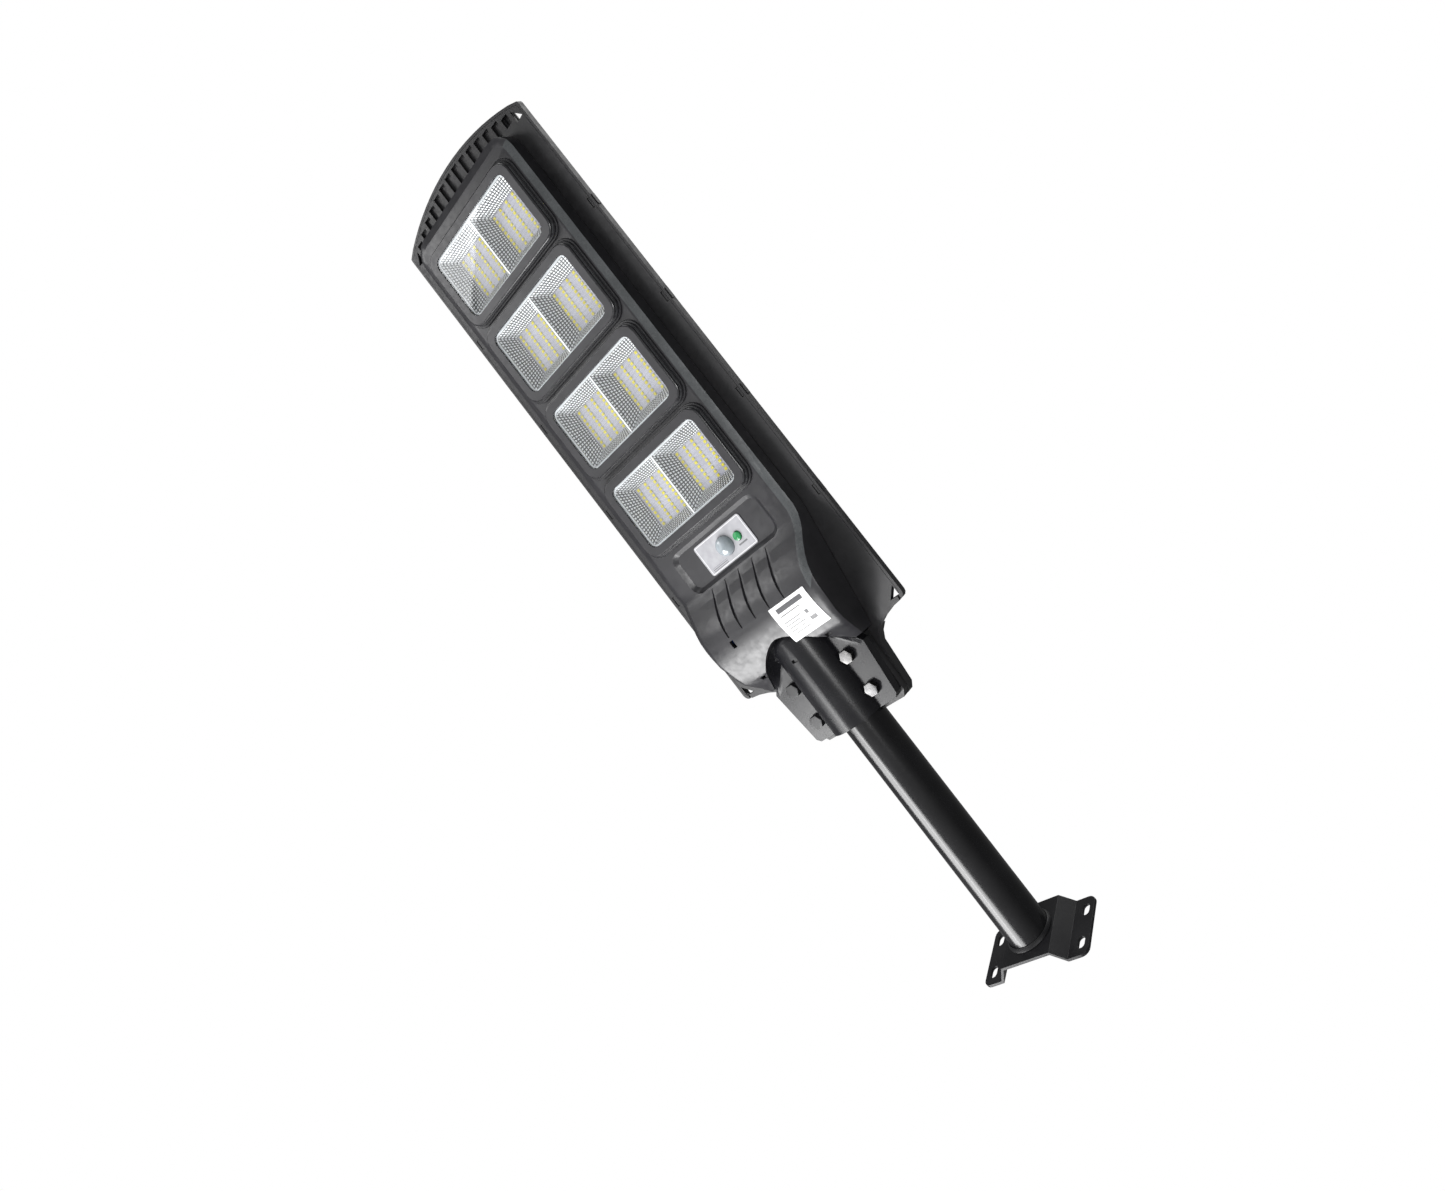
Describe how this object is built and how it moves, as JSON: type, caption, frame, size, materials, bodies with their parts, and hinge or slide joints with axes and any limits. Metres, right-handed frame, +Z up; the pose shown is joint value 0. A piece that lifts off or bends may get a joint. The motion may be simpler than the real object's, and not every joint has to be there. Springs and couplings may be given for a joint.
{
  "type": "solar street lamp",
  "caption": "All-in-one solar street lamp: panel head with downward light windows, motion sensor and button, clamped to an inclined tubular wall arm with a slotted bracket.",
  "frame": {"origin": "centre of the wall bracket's contact plane, where it touches the wall", "axes": "+X out of the wall along the arm's horizontal direction, +Z up, light windows face down and the solar panel faces up"},
  "size_m": [0.9373, 0.231, 0.2386],
  "materials": {
    "arm_tube": "satin black powder coat",
    "base_shell": "fine matte grain, black",
    "battery_cell_1": "blue shrink sleeve over a metal can",
    "battery_cell_2": "blue shrink sleeve over a metal can",
    "battery_cell_3": "blue shrink sleeve over a metal can",
    "battery_cell_4": "blue shrink sleeve over a metal can",
    "battery_cradle": "black",
    "battery_lead": "wire insulation",
    "button_switch": "black",
    "clamp_bolt_1": "bright zinc plate",
    "clamp_bolt_2": "bright zinc plate",
    "clamp_bolt_3": "bright zinc plate",
    "clamp_bolt_4": "bright zinc plate",
    "clamp_cover": "fine matte grain, charcoal",
    "clamp_nut_1": "bright zinc plate",
    "clamp_nut_2": "bright zinc plate",
    "clamp_nut_3": "bright zinc plate",
    "clamp_nut_4": "bright zinc plate",
    "controller_board": "green circuit board",
    "heat_plate": "mill finish",
    "housing_screw_1": "bright zinc plate",
    "housing_screw_2": "bright zinc plate",
    "housing_screw_3": "bright zinc plate",
    "housing_screw_4": "bright zinc plate",
    "housing_screw_5": "bright zinc plate",
    "housing_screw_6": "bright zinc plate",
    "housing_seal": "soft matte",
    "led_board_1": "white circuit board with yellow chips",
    "led_board_2": "white circuit board with yellow chips",
    "led_board_3": "white circuit board with yellow chips",
    "led_board_4": "white circuit board with yellow chips",
    "led_harness": "wire insulation",
    "lens_seal_1": "translucent silicone",
    "lens_seal_2": "translucent silicone",
    "lens_seal_3": "translucent silicone",
    "lens_seal_4": "translucent silicone",
    "lower_housing": "fine matte grain, charcoal",
    "on_off_button": "green",
    "panel_frame": "fine matte grain, black",
    "panel_junction": "black",
    "panel_lead": "wire insulation",
    "panel_tape": "soft matte",
    "pir_lens": "milky translucent",
    "pir_sensor": "bright can",
    "rating_label": "white film",
    "reflector_1": "bright metallised plastic",
    "reflector_2": "bright metallised plastic",
    "reflector_3": "bright metallised plastic",
    "reflector_4": "bright metallised plastic",
    "sensor_board": "green circuit board",
    "sensor_plate": "satin silver",
    "solar_panel": "dark blue-black cells under glass",
    "wall_bracket": "satin black powder coat",
    "weld_bead": "satin black powder coat",
    "window_lens_1": "clear",
    "window_lens_2": "clear",
    "window_lens_3": "clear",
    "window_lens_4": "clear"
  },
  "bodies": {
    "arm": {"wall_bracket": "wall_bracket", "arm_tube": "arm_tube", "weld_bead": "weld_bead"},
    "head": {"base_shell": "base_shell", "battery_cell_1": "battery_cell_1", "battery_cell_2": "battery_cell_2", "battery_cell_3": "battery_cell_3", "battery_cell_4": "battery_cell_4", "battery_cradle": "battery_cradle", "battery_lead": "battery_lead", "button_switch": "button_switch", "clamp_bolt_1": "clamp_bolt_1", "clamp_bolt_2": "clamp_bolt_2", "clamp_bolt_3": "clamp_bolt_3", "clamp_bolt_4": "clamp_bolt_4", "clamp_cover": "clamp_cover", "clamp_nut_1": "clamp_nut_1", "clamp_nut_2": "clamp_nut_2", "clamp_nut_3": "clamp_nut_3", "clamp_nut_4": "clamp_nut_4", "controller_board": "controller_board", "heat_plate": "heat_plate", "housing_screw_1": "housing_screw_1", "housing_screw_2": "housing_screw_2", "housing_screw_3": "housing_screw_3", "housing_screw_4": "housing_screw_4", "housing_screw_5": "housing_screw_5", "housing_screw_6": "housing_screw_6", "housing_seal": "housing_seal", "led_board_1": "led_board_1", "led_board_2": "led_board_2", "led_board_3": "led_board_3", "led_board_4": "led_board_4", "led_harness": "led_harness", "lens_seal_1": "lens_seal_1", "lens_seal_2": "lens_seal_2", "lens_seal_3": "lens_seal_3", "lens_seal_4": "lens_seal_4", "lower_housing": "lower_housing", "panel_frame": "panel_frame", "panel_junction": "panel_junction", "panel_lead": "panel_lead", "panel_tape": "panel_tape", "pir_lens": "pir_lens", "pir_sensor": "pir_sensor", "rating_label": "rating_label", "reflector_1": "reflector_1", "reflector_2": "reflector_2", "reflector_3": "reflector_3", "reflector_4": "reflector_4", "sensor_board": "sensor_board", "sensor_plate": "sensor_plate", "solar_panel": "solar_panel", "window_lens_1": "window_lens_1", "window_lens_2": "window_lens_2", "window_lens_3": "window_lens_3", "window_lens_4": "window_lens_4"},
    "button": {"on_off_button": "on_off_button"}
  },
  "joints": [
    {"name": "head_swivel", "type": "hinge", "parent": "arm", "child": "head", "pos_m": [0.016, 0, 0], "axis": [0.9799, 0, 0.1994], "continuous": true},
    {"name": "button_press", "type": "slide", "parent": "head", "child": "button", "axis": [-0.1994, 0, 0.9799], "range_m": [0, 0.001], "stiffness_N_per_m": 300, "springref_m": -0.002}
  ]
}
